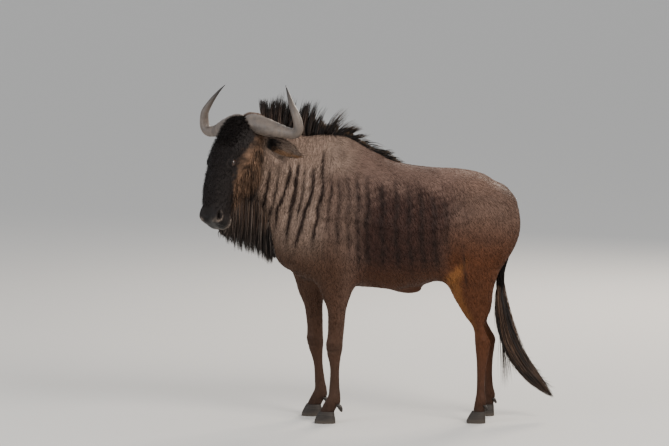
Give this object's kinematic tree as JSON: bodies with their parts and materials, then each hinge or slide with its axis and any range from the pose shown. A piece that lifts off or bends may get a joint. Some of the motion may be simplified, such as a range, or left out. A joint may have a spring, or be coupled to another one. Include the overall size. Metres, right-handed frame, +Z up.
{
  "type": "standing wildebeest, life-size still model",
  "caption": "Blue wildebeest bull standing square with its head turned to its left: curved horns, upright mane, long black beard and tufted tail.",
  "frame": {"origin": "bottom centre of the bounding box, at the level that the hooves stand on", "axes": "+Z up, -X towards where the body faces, -Y towards the animal's left side"},
  "size_m": [1.7508, 0.6342, 1.6567],
  "materials": {
    "coat": "short taupe-grey fur with darker brindle stripes, russet on the lower legs",
    "face": "short black fur on the face, bare dark skin at the nose and lips",
    "hair": "long coarse black hair with a slight sheen",
    "horn": "smooth worn horn, grey-brown at the boss and dark at the tips",
    "hoof": "dull dark horn",
    "eye": "wet, very dark brown"
  },
  "bodies": {
    "root": {"torso": "coat", "neck": "coat", "head": "face", "horn_left": "horn", "ear_left": "coat", "eye_left": "eye", "horn_right": "horn", "ear_right": "coat", "eye_right": "eye", "tail_dock": "coat", "tail_tuft": "hair", "foreleg_left_upper": "coat", "foreleg_left_lower": "coat", "foreleg_left_hoof": "hoof", "foreleg_right_upper": "coat", "foreleg_right_lower": "coat", "foreleg_right_hoof": "hoof", "hindleg_left_upper": "coat", "hindleg_left_lower": "coat", "hindleg_left_hoof": "hoof", "hindleg_right_upper": "coat", "hindleg_right_lower": "coat", "hindleg_right_hoof": "hoof"}
  },
  "joints": []
}
